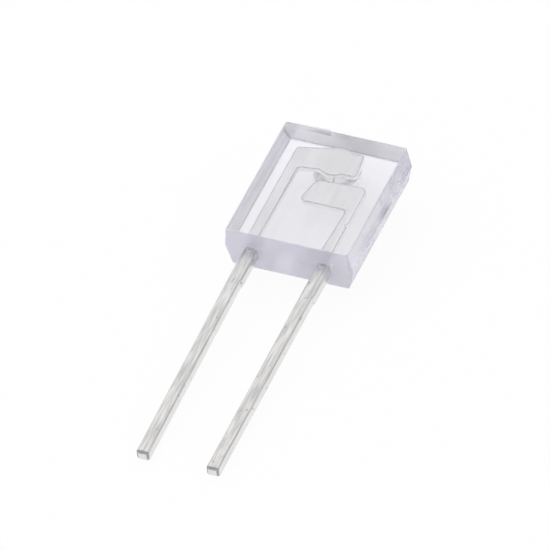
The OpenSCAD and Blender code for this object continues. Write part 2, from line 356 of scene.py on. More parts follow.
def edge_ring(side, step):
    """A ring on the rounded edge of a flat face: side is 1 at the back and -1 on the lens side."""
    draft = BACK_DRAFT if side > 0 else LENS_DRAFT
    turned_x = quarter + (draft - quarter) * step / FILLET_STEPS
    turned_y = quarter + (END_DRAFT - quarter) * step / FILLET_STEPS
    centre_z = half - EDGE_RADIUS
    centre_x = WIDTH / 2 - centre_z * math.tan(draft) - EDGE_RADIUS / math.cos(draft)
    centre_y = centre_z * math.tan(END_DRAFT) + EDGE_RADIUS / math.cos(END_DRAFT)
    half_x = centre_x + EDGE_RADIUS * math.cos(turned_x)
    inset_y = centre_y - EDGE_RADIUS * math.cos(turned_y)
    points = []
    for x, y, nx, ny in ring(half_x, inset_y, CORNER_AT_FACE):
        lift = EDGE_RADIUS * (math.sin(turned_x) * nx * nx + math.sin(turned_y) * ny * ny)
        z = side * (centre_z + lift)
        points.append((x, y + relief(x, z, ny), z))
    return points


# Heights of the wall rings, closest where the tongues, the fin and the lead's faces end.
heights = [0.6, 0.5, 0.4, 0.35, 0.3, 0.29, 0.28, 0.27, 0.26, 0.25, 0.24, 0.23, 0.22, 0.21, 0.2, 0.19]
heights += [0.15, 0.1, 0.05, 0.018, 0.009, 0.0, -0.009, -0.018, -0.05, -0.1, -0.15]
heights += [-0.19, -0.2, -0.21, -0.22, -0.235, -0.25, -0.27, -0.3, -0.4, -0.5, -0.6]
rings = [edge_ring(1, step) for step in range(FILLET_STEPS + 1)]
rings += [wall_ring(z) for z in heights]
parting = FILLET_STEPS + 1 + heights.index(0.0)
rings += [edge_ring(-1, step) for step in range(FILLET_STEPS, -1, -1)]

# %% [markdown]
# The dome is a stack of its own, with evenly spaced points. A small concave fillet leads into it from
# the flat lens side, because a cutter can't leave a knife-sharp inner corner in the mould.

# %% Rings of the dome
DOME_SIDES = 128
DOME_STEPS = 28
DOME_FILLET_STEPS = 4


def dome_ring(radius, z):
    """A ring of the dome or of its fillet."""
    angles = [2 * math.pi * k / DOME_SIDES for k in range(DOME_SIDES)]
    return [(radius * math.cos(a), LENS_Y + radius * math.sin(a), z) for a in angles]


dome_rings = []
fillet_z = half + LENS_FILLET
fillet_radius = math.sqrt((LENS_RADIUS + LENS_FILLET) ** 2 - LENS_FILLET ** 2)
meets = math.atan2(LENS_FILLET, fillet_radius)
for k in range(DOME_FILLET_STEPS):
    turned = 3 * quarter - (quarter + meets) * k / DOME_FILLET_STEPS
    foot_radius = fillet_radius + LENS_FILLET * math.cos(turned)
    dome_rings.append(dome_ring(foot_radius, -fillet_z - LENS_FILLET * math.sin(turned)))
for k in range(DOME_STEPS):
    climb = meets + (quarter - meets) * k / DOME_STEPS
    dome_rings.append(dome_ring(LENS_RADIUS * math.cos(climb), -half - LENS_RADIUS * math.sin(climb)))
print("rings:", len(rings), "and", len(dome_rings), "points in each:", len(rings[0]), "and", DOME_SIDES)


# %% Join the rings into one skin
def tube(shape, stack):
    """Joins a stack of rings by bands of four-sided faces, and returns the rings' vertices."""
    layers = [[shape.verts.new(p) for p in layer] for layer in stack]
    count = len(layers[0])
    for upper, lower in zip(layers, layers[1:]):
        for k in range(count):
            shape.faces.new((upper[k], lower[k], lower[(k + 1) % count], upper[(k + 1) % count]))
    return layers


def edges_of(shape, layer):
    """The edges round one ring."""
    return [shape.edges.get((layer[k - 1], layer[k])) for k in range(len(layer))]


FLAT_FACE, SIDE_WALL, END_WALL, DOME = range(4)
FACES_BACK = 0.98
FACES_SIDE = 0.95

skin = bmesh.new()
body = tube(skin, rings)
dome = tube(skin, dome_rings)
skin.faces.new(body[0])
crown = skin.verts.new((0, LENS_Y, -half - LENS_RADIUS))
for k in range(DOME_SIDES):
    skin.faces.new((dome[-1][k - 1], dome[-1][k], crown))
rim = edges_of(skin, body[-1]) + edges_of(skin, dome[0])
bmesh.ops.triangle_fill(skin, edges=rim, use_beauty=True)
for edge in edges_of(skin, body[parting]):
    edge.smooth = False
epoxy = make_piece("clear_epoxy_shell", skin, "epoxy_package")
add_modifier(epoxy, "WEIGHTED_NORMAL", keep_sharp=True)
dome_foot = (place((0, 0, -half)) - place((0, 0, 0))).dot(back_axis) - MM / 1000
for face in epoxy.data.polygons:
    if (face.center - place((0, 0, 0))).dot(back_axis) < dome_foot:
        face.material_index = DOME
    elif abs(face.normal.dot(back_axis)) > FACES_BACK:
        face.material_index = FLAT_FACE
    else:
        on_side = abs(face.normal.dot(side_axis)) > FACES_SIDE
        face.material_index = SIDE_WALL if on_side else END_WALL

# %% [markdown]
# The two leads are stamped from one steel strip together with the pads that end up inside the epoxy.
# A die cuts the outline, so it is drawn flat, with a small arc in each corner, and given the strip's
# thickness. The die also rolls the edges a little: a bevel gives every rim the narrow rounded line
# that catches the light. A cutter parts the tips and rounds them further, most on the lens side. The
# tie bar between the leads is cut away last and leaves a wider stub. Each face keeps a number for what
# the tools did to it, and the numbers pick the finish later.


# %% Outlines with rounded corners
def rounded(corners, steps=6):
    """An outline whose corners, given as x, y and radius, are rounded off by arcs."""
    outline = []
    for i, (x, y, radius) in enumerate(corners):
        here = Vector((x, y))
        if radius == 0:
            outline.append(here)
            continue
        to_before = (Vector(corners[i - 1][:2]) - here).normalized()
        to_after = (Vector(corners[(i + 1) % len(corners)][:2]) - here).normalized()
        half_angle = to_before.angle(to_after) / 2
        centre = here + (to_before + to_after).normalized() * radius / math.sin(half_angle)
        start = here + to_before * radius / math.tan(half_angle) - centre
        end = here + to_after * radius / math.tan(half_angle) - centre
        turn = start.angle_signed(end)
        for k in range(steps + 1):
            outline.append(centre + Matrix.Rotation(-turn * k / steps, 2) @ start)
    return outline


def circle_part(centre_y, radius, first, last, steps):
    """Points of a circle round the dome's axis, between two angles in degrees, as corners."""
    angles = [math.radians(first + (last - first) * k / steps) for k in range(steps + 1)]
    return [(radius * math.cos(a), centre_y + radius * math.sin(a), 0) for a in angles]


# %% Sizes of the cup, the pads and the bends, in millimetres
CHIP_SIDE = 0.46
CUP_CLEARANCE = 0.045
CUP_DEPTH = 0.2
CUP_FLARE = math.radians(37)
CUP_RIM = 0.12
CHIP_STRIP = 0.4
PAD_BELOW = 0.5
PAD_HEEL = 0.1
PAD_ABOVE = 0.25
PAD_RISE = 0.25
PAD_REACH = 0.86
PAD_SLANT = 0.1
PAD_CORNER = 0.12
PAD_GAP = 0.31
WIRE_PAD_HEIGHT = 1.03
WIRE_PAD_RISE = 0.1
WIRE_PAD_REACH = 0.52
WIRE_PAD_SLANT = 0.24
WIRE_STRIP = 0.32
NOTCH_HEIGHT = 1.59
NOTCH_DEPTH = 0.08
CHIP_LEAD_BEND = 0.17
WIRE_LEAD_BEND = 0.05

cup_floor_radius = CHIP_SIDE / math.sqrt(2) + CUP_CLEARANCE
cup_mouth_radius = cup_floor_radius + CUP_DEPTH * math.tan(CUP_FLARE)
boss_radius = cup_mouth_radius + CUP_RIM
pad_low = LENS_Y - PAD_BELOW
pad_high = LENS_Y + PAD_ABOVE + PAD_RISE
wire_pad_high = LENS_Y - boss_radius - PAD_GAP
wire_pad_low = wire_pad_high - WIRE_PAD_HEIGHT


# %% Outlines of the two leads, from the tip up
def lead_ends(side, bend):
    """The left and right edges of a lead below its pad, each from the top down."""
    left_x, right_x = side * LEAD_X - LEAD_WIDTH / 2, side * LEAD_X + LEAD_WIDTH / 2
    slip = bend * (STUB_LENGTH / 2) / (LEAD_LENGTH - STUB_LENGTH / 2)
    left_edge = [(left_x, -STUB_LENGTH / 2, 0)]
    left_edge += [(left_x + slip, -STUB_LENGTH, 0), (left_x + bend, -LEAD_LENGTH, 0)]
    stub = right_x + STUB_BURR
    right_edge = [(stub, STUB_ROOT, 0), (stub, STUB_SHOULDER - STUB_LENGTH, 0)]
    right_edge += [(right_x + slip, -STUB_LENGTH, 0), (right_x + bend, -LEAD_LENGTH, 0)]
    return left_edge, right_edge


BOSS_STEPS = 16

swell = math.degrees(math.asin(PAD_BELOW / boss_radius))
left_edge, right_edge = lead_ends(-1, CHIP_LEAD_BEND)
chip_lead_outline = rounded(
    [(-outer_edge, pad_high - PAD_RISE, PAD_CORNER)]
    + left_edge
    + right_edge[::-1]
    + [
        (-outer_edge + CHIP_STRIP, STUB_ROOT, 0),
        (-outer_edge + CHIP_STRIP, pad_low - PAD_HEEL, PAD_CORNER / 2),
    ]
    + circle_part(LENS_Y, boss_radius, swell - 180, -swell, BOSS_STEPS)
    + [
        (PAD_REACH + PAD_SLANT / 2, pad_low, PAD_CORNER),
        (PAD_REACH - PAD_SLANT / 2, pad_high, PAD_CORNER),
    ]
    + circle_part(LENS_Y, boss_radius, swell, 180 - swell, BOSS_STEPS)
)
left_edge, right_edge = lead_ends(1, WIRE_LEAD_BEND)
wire_lead_outline = rounded(
    [
        (outer_edge, wire_pad_high + WIRE_PAD_RISE, 2 * PAD_CORNER),
        (WIRE_PAD_SLANT - WIRE_PAD_REACH, wire_pad_high, 2 * PAD_CORNER),
        (-WIRE_PAD_REACH, wire_pad_low, 1.5 * PAD_CORNER),
        (outer_edge - WIRE_STRIP, wire_pad_low, PAD_CORNER),
        (LEAD_X - LEAD_WIDTH / 2, STUB_ROOT, 0),
    ]
    + left_edge
    + right_edge[::-1]
    + [
        (outer_edge, STUB_ROOT, 0),
        (outer_edge, NOTCH_HEIGHT - NOTCH_DEPTH, 0),
        (outer_edge - NOTCH_DEPTH, NOTCH_HEIGHT, 0),
        (outer_edge, NOTCH_HEIGHT + NOTCH_DEPTH, 0),
    ]
)
print("points of the outlines:", len(chip_lead_outline), len(wire_lead_outline))

# %% Stamp the two leads
# The numbers also pick painted light and shade: a painted lighter tone on the sides that the die
# sheared, a painted dark line on the rims and painted shade on the cut tip.
ROLLED_FACE, SHEARED_SIDE, RIM, CUP, CUT_EDGE = range(5)
RIM_RADIUS = 0.065
RIM_STEPS = 4
TIP_ROLL_BACK = 0.08
TIP_ROLL_LENS = 0.13
TIP_STEPS = 5
SHARP = math.radians(60)
NEAR = 0.001


def stamp(name, outline):
    """A lead cut from the strip, with rolled rims and with both edges of its cut tip rounded."""
    plate = bmesh.new()
    low_face = plate.faces.new([plate.verts.new((p.x, p.y, -sheet_top)) for p in outline])
    grown = bmesh.ops.extrude_face_region(plate, geom=[low_face])
    raised = [v for v in grown["geom"] if isinstance(v, bmesh.types.BMVert)]
    bmesh.ops.translate(plate, vec=(0, 0, SHEET), verts=raised)
    plate.normal_update()
    for face in plate.faces:
        face.material_index = ROLLED_FACE if abs(face.normal.z) > 0.5 else SHEARED_SIDE
    for side, roll in ((1, TIP_ROLL_BACK), (-1, TIP_ROLL_LENS)):
        tip = [v for v in plate.verts if v.co.y < NEAR - LEAD_LENGTH]
        ends = [v for v in tip if v.co.z * side > sheet_top - NEAR]
        edge = [e for e in plate.edges if all(v in ends for v in e.verts)]
        bmesh.ops.bevel(
            plate, geom=edge, offset=roll, segments=TIP_STEPS, affect="EDGES", profile=0.5,
            material=CUT_EDGE if side > 0 else SHEARED_SIDE,
        )
    plate.normal_update()
    rims = []
    for edge in plate.edges:
        a, b = (v.co for v in edge.verts)
        upright = math.hypot(a.x - b.x, a.y - b.y) < NEAR / 10 and a.y > TIP_ROLL_LENS - LEAD_LENGTH
        if not upright and edge.calc_face_angle() > SHARP:
            rims.append(edge)
    bmesh.ops.bevel(
        plate, geom=rims, offset=RIM_RADIUS, segments=RIM_STEPS, affect="EDGES", profile=0.5,
        clamp_overlap=False, material=RIM,
    )
    for face in plate.faces:
        middle = face.calc_center_median()
        on_cut = middle.y < TIP_ROLL_BACK - LEAD_LENGTH and middle.z > -sheet_top / 2
        if face.material_index == RIM and on_cut:
            face.material_index = CUT_EDGE
    print(name, "rim edges:", len(rims))
    return make_piece(name + "_stamping", plate, name)


chip_lead = stamp("chip_lead", chip_lead_outline)
wire_lead = stamp("wire_lead", wire_lead_outline)

# %% [markdown]
# A punch then coins a conical cup into the chip pad from the lens side. Its burnished wall throws the
# light from the dome's rim back onto the chip. The cup is taken out of the stamping by a Boolean, whose
# result is kept as a plain mesh, so that no cutter stays in the scene.

# %% Coin the cup
CUP_SIDES = 96
PAST = 0.1
FOLD = math.radians(35)

punch = bmesh.new()
bmesh.ops.create_cone(
    punch,
    cap_ends=True,
    segments=CUP_SIDES,
    radius1=cup_mouth_radius + PAST * math.tan(CUP_FLARE),
    radius2=cup_floor_radius,
    depth=CUP_DEPTH + PAST,
    matrix=Matrix.Translation((0, LENS_Y, -sheet_top + (CUP_DEPTH - PAST) / 2)),
)
bmesh.ops.transform(punch, matrix=package @ Matrix.Scale(MM, 4), verts=punch.verts)
punch_mesh = bpy.data.meshes.new("punch")
punch.to_mesh(punch_mesh)
punch.free()
cutter = into_scene("punch", punch_mesh)
coining = add_modifier(chip_lead, "BOOLEAN", operation="DIFFERENCE", solver="EXACT", object=cutter)
bpy.context.view_layer.update()
in_use = bpy.context.evaluated_depsgraph_get()
coined = bpy.data.meshes.new_from_object(chip_lead.evaluated_get(in_use))
chip_lead.modifiers.remove(coining)
chip_lead.data = coined
bpy.data.objects.remove(cutter)
for face in coined.polygons:
    spot = package.inverted() @ face.center / MM
    below_mouth = abs(spot.z) < sheet_top - NEAR
    if below_mouth and math.hypot(spot.x, spot.y - LENS_Y) < cup_mouth_radius:
        face.material_index = CUP
for lead in (chip_lead, wire_lead):
    lead.data.set_sharp_from_angle(angle=FOLD)
    add_modifier(lead, "WEIGHTED_NORMAL", keep_sharp=True)
print("coined pad faces:", len(coined.polygons))

# %% [markdown]
# The chip is a square of silicon, sawn from a wafer. A thin frame of aluminium runs round its
# light-sensitive window, and a small square of the same metal takes the wire. The chip sits in the cup
# on silver-filled glue, which was squeezed out into a low uneven bead round its foot. It faces the dome,
# so everything here is drawn downwards from the cup's floor.

# %% Chip
CHIP_THICKNESS = 0.22
CHIP_EDGE = 0.004
METAL_THICKNESS = 0.003
FRAME_OUTER = 0.205
FRAME_INNER = 0.175
BALL_OFFSET = 0.12
BOND_PAD_HALF = 0.05
GLUE_FILM = 0.02
CHIP_FOLD = math.radians(50)
ALUMINIUM = 1

cup_floor = -sheet_top + CUP_DEPTH
chip_seat = cup_floor - GLUE_FILM
chip_face = chip_seat - CHIP_THICKNESS


def square_ring(middle, half_side, z):
    """Four corners of a square on the chip."""
    corners = ((-1, -1), (1, -1), (1, 1), (-1, 1))
    return [(middle[0] + half_side * a, middle[1] + half_side * b, z) for a, b in corners]


block = bmesh.new()
bmesh.ops.create_cube(block, size=1.0)
bmesh.ops.scale(block, vec=(CHIP_SIDE, CHIP_SIDE, CHIP_THICKNESS), verts=block.verts)
bmesh.ops.translate(block, vec=(0, LENS_Y, chip_face + CHIP_THICKNESS / 2), verts=block.verts)
bmesh.ops.bevel(
    block, geom=block.edges[:], offset=CHIP_EDGE, segments=2, affect="EDGES", profile=0.5
)

# What is added from here on is aluminium.
silicon_faces = set(block.faces)
metal_face = chip_face - METAL_THICKNESS
sunk = chip_face + METAL_THICKNESS
frame_layers = tube(block, [
    square_ring((0, LENS_Y), FRAME_OUTER, sunk),
    square_ring((0, LENS_Y), FRAME_OUTER, metal_face),
    square_ring((0, LENS_Y), FRAME_INNER, metal_face),
    square_ring((0, LENS_Y), FRAME_INNER, sunk),
])
outer, inner = frame_layers[0], frame_layers[3]
for k in range(4):
    block.faces.new((inner[k], outer[k], outer[k - 3], inner[k - 3]))
pad_layers = tube(block, [
    square_ring((0, LENS_Y - BALL_OFFSET), BOND_PAD_HALF, sunk),
    square_ring((0, LENS_Y - BALL_OFFSET), BOND_PAD_HALF, metal_face),
])
block.faces.new(pad_layers[0])
block.faces.new(pad_layers[1])
for face in set(block.faces) - silicon_faces:
    face.material_index = ALUMINIUM
chip = make_piece("silicon_chip", block, "receiver_chip")
chip.data.set_sharp_from_angle(angle=CHIP_FOLD)
add_modifier(chip, "WEIGHTED_NORMAL", keep_sharp=True)

# %% Glue
BEAD_WIDTH = 0.03
BEAD_HEIGHT = 0.04
GLUE_POINTS = 72
SQUARENESS = 8


def glue_ring(reach, z, unevenness):
    """A ring of the glue: a soft square whose edge wavers a little."""
    points = []
    for k in range(GLUE_POINTS):
        angle = 2 * math.pi * k / GLUE_POINTS
        powers = abs(math.cos(angle)) ** SQUARENESS + abs(math.sin(angle)) ** SQUARENESS
        waver = 1 + unevenness * (math.sin(3 * angle + 1) + math.sin(7 * angle) / 2)
        radius = reach * powers ** (-1 / SQUARENESS) * waver
        points.append((radius * math.cos(angle), LENS_Y + radius * math.sin(angle), z))
    return points


# The glue from the cup's floor up: share of the bead's width, level, and how much the edge wavers.
glue_profile = [
    (0.85, cup_floor, 0.012),
    (0.75, chip_seat, 0.012),
    (0.35, chip_seat - BEAD_HEIGHT * 0.4, 0.01),
    (0.1, chip_seat - BEAD_HEIGHT, 0.006),
]
bead = bmesh.new()
bead_layers = tube(bead, [
    glue_ring(CHIP_SIDE / 2 + BEAD_WIDTH * wide, z, wavers) for wide, z, wavers in glue_profile
])
bead.faces.new(bead_layers[0])
bead.faces.new(bead_layers[-1])
glue = make_piece("glue_bead", bead, "die_attach")

# %% [markdown]
# A gold wire, thinner than a hair, joins the chip to the other lead. The bonding tool melts its end to
# a ball that it presses onto the chip, lifts the wire over in a loop and squashes it flat on the pad.
# A round section swept along that path gives the wire; the ball is turned on the same axis.

# %% Bond wire
WIRE_RADIUS = 0.015
WIRE_SIDES = 16
BALL_RADIUS = 0.04
BALL_HEIGHT = 0.02
BALL_SIDES = 24
LOOP_HEIGHT = 0.25
LOOP_RADIUS = 0.1
FOOT_SIDE = 0.3
FOOT_INSET = 0.25
FOOT_LENGTH = 0.09
LOOP_STEPS = 20

ball_place = Vector((0, LENS_Y - BALL_OFFSET))
foot_place = Vector((FOOT_SIDE, wire_pad_high - FOOT_INSET))
run = (foot_place - ball_place).length
heading = (foot_place - ball_place).normalized()
pad_drop = chip_face + sheet_top
riser = LOOP_HEIGHT - LOOP_RADIUS - WIRE_RADIUS
foot_level = pad_drop + WIRE_RADIUS
to_foot = Vector((run - LOOP_RADIUS, riser - foot_level))
descent = math.atan2(to_foot.y, to_foot.x) + math.asin(LOOP_RADIUS / to_foot.length)

# Each stop: distance from the ball, height over the chip's face, direction of travel, flatness.
path = [(0.0, BALL_HEIGHT / 2, quarter, 1.0)]
for k in range(LOOP_STEPS + 1):
    turned = (quarter + descent) * k / LOOP_STEPS
    bow = LOOP_RADIUS * (1 - math.cos(turned))
    path.append((bow, riser + LOOP_RADIUS * math.sin(turned), quarter - turned, 1.0))
path.append((run, foot_level, -descent, 1.0))
path.append((run + FOOT_LENGTH * 0.3, pad_drop + WIRE_RADIUS * 0.5, 0.0, 0.45))
path.append((run + FOOT_LENGTH, pad_drop + WIRE_RADIUS * 0.2, 0.0, 0.2))


def in_wire_plane(along, out, aside=0.0):
    """A point of the wire's upright plane, measured from the ball and from the chip's face."""
    spot = ball_place + heading * along + Vector((-heading.y, heading.x)) * aside
    return (spot.x, spot.y, chip_face - out)


def wire_section(along, out, travel, flatness):
    """A ring of the wire; where the tool squashed it, it is flat and wide."""
    points = []
    for k in range(WIRE_SIDES):
        angle = 2 * math.pi * (k + 0.5) / WIRE_SIDES
        lift = WIRE_RADIUS * math.cos(angle) * flatness
        aside = WIRE_RADIUS * math.sin(angle) * (2 - flatness)
        back, rise = lift * math.sin(travel), lift * math.cos(travel)
        points.append(in_wire_plane(along - back, out + rise, aside))
    return points


def ball_section(radius, out):
    """A ring of the pressed ball."""
    angles = [2 * math.pi * k / BALL_SIDES for k in range(BALL_SIDES)]
    return [in_wire_plane(radius * math.cos(a), out, radius * math.sin(a)) for a in angles]


# The pressed ball from the chip up, as shares of its radius and of its height.
ball_profile = [(0.85, 0.0), (1.0, 0.25), (1.0, 0.55), (0.85, 0.8), (0.5, 1.0)]
ball = [ball_section(BALL_RADIUS * wide, BALL_HEIGHT * tall) for wide, tall in ball_profile]
wire_shape = bmesh.new()
for stack in ([wire_section(*stop) for stop in path], ball):
    layers = tube(wire_shape, stack)
    wire_shape.faces.new(layers[0])
    wire_shape.faces.new(layers[-1])
wire = make_piece("gold_wire", wire_shape, "bond_wire")

# %% [markdown]
# Clear epoxy for infrared parts bends light with an index of about 1.54 and takes a little out of it,
# mostly in the green and red, so thick edges turn lilac while thin stretches look clear. That is a
# volume absorption, which works over real distances. The surface is a copy of the mould's steel, which
# is polished for the two flat faces, lapped in the dome's hollow, ground on the side walls and
# spark-eroded at the ends and round the edges. A matt surface is partly glass and partly frost. Seen
# from outside the frost sends light back like paper; seen from inside, through the clear body, it glows
# with the light that falls on it. Those are two simple shaders, and the side a ray comes from picks one.

# %% Clear epoxy
EPOXY_IOR = 1.54
EPOXY_TINT = "#c8c6f7"
TINT_PER_METRE = 42.0
NOISE_LOW, NOISE_HIGH = 0.3, 0.7
FROST_LOW, FROST_HIGH = 0.85, 1.15
MARK_DEPTH = 0.002
# Sizes of the marks in millimetres: across the package, along it and through it. Real grinding lines
# are about 0.01 mm apart and the spark's pits 0.02 mm wide, too fine to show, so both are drawn coarser.
FLOW_CLOUDS = (0.4, 0.4, 0.4)
GRINDING_LINES = (0.12, 2.4, 0.12)
SPARK_PITS = (0.05, 0.05, 0.05)


def clear_epoxy(steel, marks, smoothest, roughest, mark_strength, frost_outside, frost_inside):
    """Clear epoxy with the surface that one kind of mould steel leaves on it."""
    material, tree, output = new_material("clear epoxy from " + steel + " steel")
    grain = add(tree, "ShaderNodeTexNoise", {
        "Vector": in_package(tree, marks),
        "Scale": 1.0,
        "Detail": 2.0,
    })
    roughness = add(tree, "ShaderNodeMapRange", {
        "Value": grain.outputs["Fac"],
        "From Min": NOISE_LOW,
        "From Max": NOISE_HIGH,
        "To Min": smoothest,
        "To Max": roughest,
    })
    bump = add(tree, "ShaderNodeBump", {
        "Height": grain.outputs["Fac"],
        "Strength": mark_strength,
        "Distance": MARK_DEPTH * MM,
    })
    glass = add(tree, "ShaderNodeBsdfPrincipled", {
        "Base Color": linear("#fdfdfe"),
        "Roughness": roughness.outputs["Result"],
        "IOR": EPOXY_IOR,
        "Transmission Weight": 1.0,
        "Normal": bump.outputs["Normal"],
    })
    from_inside = add(tree, "ShaderNodeNewGeometry").outputs["Backfacing"]
    frost = add(tree, "ShaderNodeMixShader", {
        0: from_inside,
        1: add(tree, "ShaderNodeBsdfDiffuse", {"Color": linear("#e8e6f5")}).outputs["BSDF"],
        2: add(tree, "ShaderNodeBsdfTranslucent", {"Color": linear("#fefcf8")}).outputs["BSDF"],
    })
    share = add(tree, "ShaderNodeMapRange", {
        "Value": from_inside,
        "To Min": frost_outside,
        "To Max": frost_inside,
    })
    uneven = add(tree, "ShaderNodeMapRange", {
        "Value": grain.outputs["Fac"],
        "From Min": NOISE_LOW,
        "From Max": NOISE_HIGH,
        "To Min": FROST_LOW,
        "To Max": FROST_HIGH,
    })
    frosted = add(tree, "ShaderNodeMath", {
        0: share.outputs["Result"],
        1: uneven.outputs["Result"],
    }, operation="MULTIPLY", use_clamp=True)
    surface = add(tree, "ShaderNodeMixShader", {
        0: frosted.outputs[0],
        1: glass.outputs["BSDF"],
        2: frost.outputs["Shader"],
    })
    depth = add(tree, "ShaderNodeVolumeAbsorption", {
        "Color": linear(EPOXY_TINT),
        "Density": TINT_PER_METRE,
    })
    tree.links.new(surface.outputs[0], output.inputs["Surface"])
    tree.links.new(depth.outputs["Volume"], output.inputs["Volume"])
    return material


# %% The surfaces that four kinds of steel leave
# Each row: the steel, the size of its marks, smoothest and roughest gloss, depth of the marks, and the
# share of frost from outside and from inside. The order is that of the faces' numbers.
steels = [
    # Polished: the eye looks through it as through glass, and it keeps a sharp faint gloss.
    ("polished", FLOW_CLOUDS, 0.06, 0.12, 0.0, 0.0, 0.0),
    # Ground: it softens what lies behind it, so the eye sees streaks of light and lilac.
    ("ground", GRINDING_LINES, 0.2, 0.28, 0.12, 0.4, 0.8),
    # Spark-eroded: it breaks up what lies behind it, so the eye sees a smooth frosted lilac band.
    ("spark-eroded", SPARK_PITS, 0.3, 0.36, 0.3, 0.45, 0.2),
    # Lapped: nearly clear, but the eye sees softer shapes through it.
    ("lapped", FLOW_CLOUDS, 0.12, 0.2, 0.0, 0.0, 0.35),
]
for steel in steels:
    epoxy.data.materials.append(clear_epoxy(*steel))
print("epoxy surfaces:", [material.name for material in epoxy.data.materials])

# %% [markdown]
# The strip is plated with silver where the chip and the wire are bonded, which looks white and satin
# through the epoxy. Outside, the leads were dipped in tin: greyer, with streaks along their length and
# dull specks where the tin ran. One function holds both and changes over at the end of the package. It
# is used once for each surface that the tools leave: the rolled face, the side that the die sheared,
# the rim that it turned, the cup that the punch burnished and the tip that the cutter parted. The
# streaks are a noise stretched along the lead, since a picture of metal would have to fit its size.
# What all bare metals share is a function of its own, because the inner pieces need it too.

# %% Plated strip
# Sizes of the marks in millimetres: across the leads, along them and through them. Real rolling lines
# are about 0.02 mm apart, too fine to show here, so they are drawn coarser.
ROLLING_LINES = (0.09, 1.8, 0.09)
TIN_STREAKS = (0.07, 0.9, 0.07)
SPECKS = (0.12, 0.25, 0.12)
PATCH_LOW, PATCH_HIGH = 0.35, 0.65
SPECK_LOW, SPECK_HIGH = 0.68, 0.76
SPECK_TONE = "#807f7e"
SPECK_SHARE = 0.5
TIN_STARTS, TIN_FULL = 0.02, -0.06
LINE_DEPTH = 0.02
SILVER_LINES = 0.1


def metal_surface(tree, output, tone, marks, smoothest, roughest, normal):
    """Bare metal with a tone and a relief of its own, whose gloss follows its marks."""
    roughness = add(tree, "ShaderNodeMapRange", {
        "Value": marks,
        "From Min": NOISE_LOW,
        "From Max": NOISE_HIGH,
        "To Min": smoothest,
        "To Max": roughest,
    })
    surface = add(tree, "ShaderNodeBsdfPrincipled", {
        "Base Color": tone,
        "Metallic": 1.0,
        "Roughness": roughness.outputs["Result"],
        "Normal": normal,
    })
    tree.links.new(surface.outputs["BSDF"], output.inputs["Surface"])


def plated_strip(finish, silver, tin, smoothest, roughest, line_strength):
    """The strip's plating on one kind of surface: silver inside the epoxy, tin outside."""
    material, tree, output = new_material("plated strip, " + finish)
    lines, streaks, spots = (
        add(tree, "ShaderNodeTexNoise", {
            "Vector": in_package(tree, size),
            "Scale": 1.0,
            "Detail": detail,
        }).outputs["Fac"]
        for size, detail in ((ROLLING_LINES, 3.0), (TIN_STREAKS, 3.0), (SPECKS, 1.0))
    )
    patches = add(tree, "ShaderNodeMapRange", {
        "Value": streaks,
        "From Min": PATCH_LOW,
        "From Max": PATCH_HIGH,
    })
    specks = add(tree, "ShaderNodeMapRange", {
        "Value": spots,
        "From Min": SPECK_LOW,
        "From Max": SPECK_HIGH,
        "To Max": SPECK_SHARE,
    })
    along = add(tree, "ShaderNodeSeparateXYZ", {0: in_package(tree)})
    dipped = add(tree, "ShaderNodeMapRange", {
        "Value": along.outputs["Y"],
        "From Min": TIN_STARTS,
        "From Max": TIN_FULL,
    }).outputs["Result"]
    silver_shade = add(tree, "ShaderNodeMix", {
        "Factor": streaks,
        "A": linear(silver[0]),
        "B": linear(silver[1]),
    }, data_type="RGBA")
    tin_shade = add(tree, "ShaderNodeMix", {
        "Factor": patches.outputs["Result"],
        "A": linear(tin[0]),
        "B": linear(tin[1]),
    }, data_type="RGBA")
    marked_tin = add(tree, "ShaderNodeMix", {
        "Factor": specks.outputs["Result"],
        "A": tin_shade.outputs["Result"],
        "B": linear(SPECK_TONE),
    }, data_type="RGBA")
    tone = add(tree, "ShaderNodeMix", {
        "Factor": dipped,
        "A": silver_shade.outputs["Result"],
        "B": marked_tin.outputs["Result"],
    }, data_type="RGBA").outputs["Result"]
    depth = add(tree, "ShaderNodeMapRange", {"Value": dipped, "To Min": SILVER_LINES, "To Max": 1.0})
    height = add(tree, "ShaderNodeMath", {0: lines, 1: depth.outputs["Result"]}, operation="MULTIPLY")
    bump = add(tree, "ShaderNodeBump", {
        "Height": height.outputs[0],
        "Strength": line_strength,
        "Distance": LINE_DEPTH * MM,
    })
    metal_surface(tree, output, tone, lines, smoothest, roughest, bump.outputs["Normal"])
    return material


# %% The surfaces that the tools leave on the strip
# Each row: the surface, the silver's and the tin's darkest and palest tones, smoothest and roughest
# gloss, and how deep the rolling lines look. The order is that of the faces' numbers.
finishes = [
    # Rolled face: the eye sees a satin grey with long streaks, and a soft white inside the epoxy.
    ("rolled face", ("#f2f1f0", "#fbfaf9"), ("#c8c7c7", "#edeceb"), 0.3, 0.45, 0.7),
    # Sheared side: the die burnished it nearly plain, and its tin is painted lighter than the face's:
    # painted light on the sides.
    ("sheared side, painted lighter", ("#f2f1f0", "#fafaf9"), ("#dcdbdb", "#eae9e9"), 0.15, 0.25, 0.2),
    # Turned rim: smooth, with a tin tone darker than the face's, painted shade that draws a crisp dark
    # line for the eye.
    ("turned rim with painted dark line", ("#f4f3f2", "#faf9f8"), ("#d0cfce", "#e2e1e0"), 0.25, 0.35, 0.1),
    # Burnished cup: pressed mirror-bright, so the eye sees the chip's sides again in its wall.
    ("burnished cup", ("#f5f4f2", "#faf9f8"), ("#ecebea", "#f8f7f7"), 0.06, 0.12, 0.1),
    # Cut edge: the cutter went through the tin to bare steel, and its dark tone is partly painted shade,
    # a dark line round the tip.
    ("cut edge, partly painted shade", ("#9d9c9b", "#b5b4b3"), ("#9d9c9b", "#b5b4b3"), 0.25, 0.4, 0.3),
]
strip_materials = [plated_strip(*finish) for finish in finishes]
for lead in (chip_lead, wire_lead):
    for material in strip_materials:
        lead.data.materials.append(material)
    used = [face.material_index for face in lead.data.polygons]
    print(lead.name, "faces of each finish:", [used.count(k) for k in range(len(finishes))])

